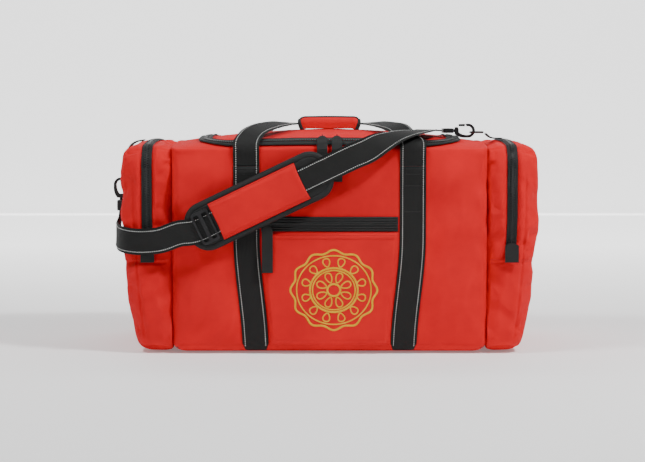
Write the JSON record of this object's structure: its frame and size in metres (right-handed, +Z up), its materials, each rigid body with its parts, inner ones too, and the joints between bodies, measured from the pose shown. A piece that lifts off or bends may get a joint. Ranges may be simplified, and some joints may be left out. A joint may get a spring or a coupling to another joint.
{
  "type": "turnout gear duffel bag",
  "caption": "Red fabric gear duffel with hinged zip flap, zipped end and front pockets, webbing carry handles and a padded shoulder strap.",
  "frame": {"origin": "on the floor, under the middle of the base of the main compartment", "axes": "+X along the bag to the right, +Y from front to back, +Z up"},
  "size_m": [0.819, 0.4232, 0.448],
  "materials": {
    "red_fabric": "woven polyester canvas, matt",
    "black_webbing": "ribbed webbing with white edge stitching",
    "zip_tape": "woven tape with plastic teeth",
    "black_hardware": "black coated, satin",
    "base_board": "matt stiffener board"
  },
  "bodies": {
    "bag": {"main_body": "red_fabric", "base_board": "base_board", "webbing_wrap_left": "black_webbing", "webbing_wrap_right": "black_webbing", "flap_zip_tape_bag": "zip_tape", "end_pocket_left": "red_fabric", "end_zip_left": "zip_tape", "end_pocket_right": "red_fabric", "end_zip_right": "zip_tape", "front_pocket": "red_fabric", "pocket_zip_upper": "zip_tape", "pocket_zip_lower": "zip_tape", "shoulder_strap": "black_webbing", "shoulder_pad": "black_webbing", "pad_cover": "red_fabric", "ring_tab_left": "black_webbing", "ring_tab_right": "black_webbing", "snap_hook_left": "black_hardware", "snap_hook_right": "black_hardware", "swivel_loop_left": "black_hardware", "swivel_loop_right": "black_hardware"},
    "flap": {"top_flap": "red_fabric", "flap_zip_tape_flap": "zip_tape"},
    "front_handle": {"handle_front": "black_webbing"},
    "back_handle": {"handle_back": "black_webbing", "grip_wrap": "red_fabric"},
    "pocket_slider": {"pocket_zip_slider": "black_hardware"},
    "pocket_pull": {"pocket_zip_pull": "black_webbing"},
    "flap_slider_left": {"flap_zip_left_slider": "black_hardware"},
    "flap_pull_left": {"flap_zip_left_pull": "black_webbing"},
    "flap_slider_right": {"flap_zip_right_slider": "black_hardware"},
    "flap_pull_right": {"flap_zip_right_pull": "black_webbing"},
    "end_slider_left": {"end_zip_left_slider": "black_hardware"},
    "end_pull_left": {"end_zip_left_pull": "black_webbing"},
    "end_slider_right": {"end_zip_right_slider": "black_hardware"},
    "end_pull_right": {"end_zip_right_pull": "black_webbing"},
    "ring_left": {"d_ring_left": "black_hardware"},
    "ring_right": {"d_ring_right": "black_hardware"},
    "gate_left": {"hook_gate_left": "black_hardware"},
    "gate_right": {"hook_gate_right": "black_hardware"},
    "adjuster": {"strap_adjuster": "black_hardware"}
  },
  "joints": [
    {"name": "flap_open", "type": "hinge", "parent": "bag", "child": "flap", "pos_m": [0, 0.15, 0.411], "axis": [-1, 0, 0], "range_deg": [0, 100], "deforming": ["shoulder_strap", "handle_front", "handle_back"]},
    {"name": "front_handle_swing", "type": "hinge", "parent": "bag", "child": "front_handle", "pos_m": [0, -0.1904, 0.3552], "axis": [1, 0, 0], "range_deg": [0, 185]},
    {"name": "back_handle_swing", "type": "hinge", "parent": "bag", "child": "back_handle", "pos_m": [0, 0.1904, 0.3552], "axis": [-1, 0, 0], "range_deg": [0, 185]},
    {"name": "pocket_zip_slide", "type": "slide", "parent": "bag", "child": "pocket_slider", "axis": [1, 0, 0], "range_m": [0, 0.235]},
    {"name": "pocket_pull_swing", "type": "hinge", "parent": "pocket_slider", "child": "pocket_pull", "pos_m": [-0.118, -0.2006, 0.245], "axis": [-1, 0, 0], "range_deg": [0, 25]},
    {"name": "flap_zip_left_slide", "type": "slide", "parent": "bag", "child": "flap_slider_left", "axis": [-1, 0, 0], "range_m": [0, 0.09]},
    {"name": "flap_pull_left_swing", "type": "hinge", "parent": "flap_slider_left", "child": "flap_pull_left", "pos_m": [-0.014, -0.17626, 0.41146], "axis": [-1, 0, 0], "range_deg": [0, 6]},
    {"name": "flap_zip_right_slide", "type": "slide", "parent": "bag", "child": "flap_slider_right", "axis": [1, 0, 0], "range_m": [0, 0.09]},
    {"name": "flap_pull_right_swing", "type": "hinge", "parent": "flap_slider_right", "child": "flap_pull_right", "pos_m": [0.014, -0.17626, 0.41146], "axis": [-1, 0, 0], "range_deg": [0, 6]},
    {"name": "end_zip_left_slide", "type": "slide", "parent": "bag", "child": "end_slider_left", "axis": [0, 0, 1], "range_m": [-0.015, 0.12]},
    {"name": "end_pull_left_swing", "type": "hinge", "parent": "end_slider_left", "child": "end_pull_left", "pos_m": [-0.3451, -0.2006, 0.207], "axis": [0, 0, 1], "range_deg": [-20, 20]},
    {"name": "end_zip_right_slide", "type": "slide", "parent": "bag", "child": "end_slider_right", "axis": [0, 0, 1], "range_m": [-0.015, 0.12]},
    {"name": "end_pull_right_swing", "type": "hinge", "parent": "end_slider_right", "child": "end_pull_right", "pos_m": [0.3451, -0.2006, 0.207], "axis": [0, 0, 1], "range_deg": [-20, 20]},
    {"name": "ring_left_swing", "type": "hinge", "parent": "bag", "child": "ring_left", "pos_m": [-0.401, -0.06, 0.342], "axis": [0, 1, 0], "range_deg": [-3, 2]},
    {"name": "ring_right_swing", "type": "hinge", "parent": "bag", "child": "ring_right", "pos_m": [0.3, -0.06, 0.418], "axis": [0, 1, 0], "range_deg": [-3, 3]},
    {"name": "gate_left_press", "type": "hinge", "parent": "bag", "child": "gate_left", "pos_m": [-0.4, -0.06, 0.2975], "axis": [0, -1, 0], "range_deg": [0, 14], "stiffness_Nm_per_rad": 0.02},
    {"name": "gate_right_press", "type": "hinge", "parent": "bag", "child": "gate_right", "pos_m": [0.255, -0.06, 0.432], "axis": [0, 1, 0], "range_deg": [0, 14], "stiffness_Nm_per_rad": 0.02},
    {"name": "adjuster_slide", "type": "slide", "parent": "bag", "child": "adjuster", "axis": [-0.9026, 0, -0.4305], "range_m": [0, 0.03]}
  ],
  "couplings": [
    {"joint": "front_handle_swing", "follows": "flap_open", "ratio": 1.8},
    {"joint": "back_handle_swing", "follows": "flap_open", "ratio": 1.8}
  ]
}
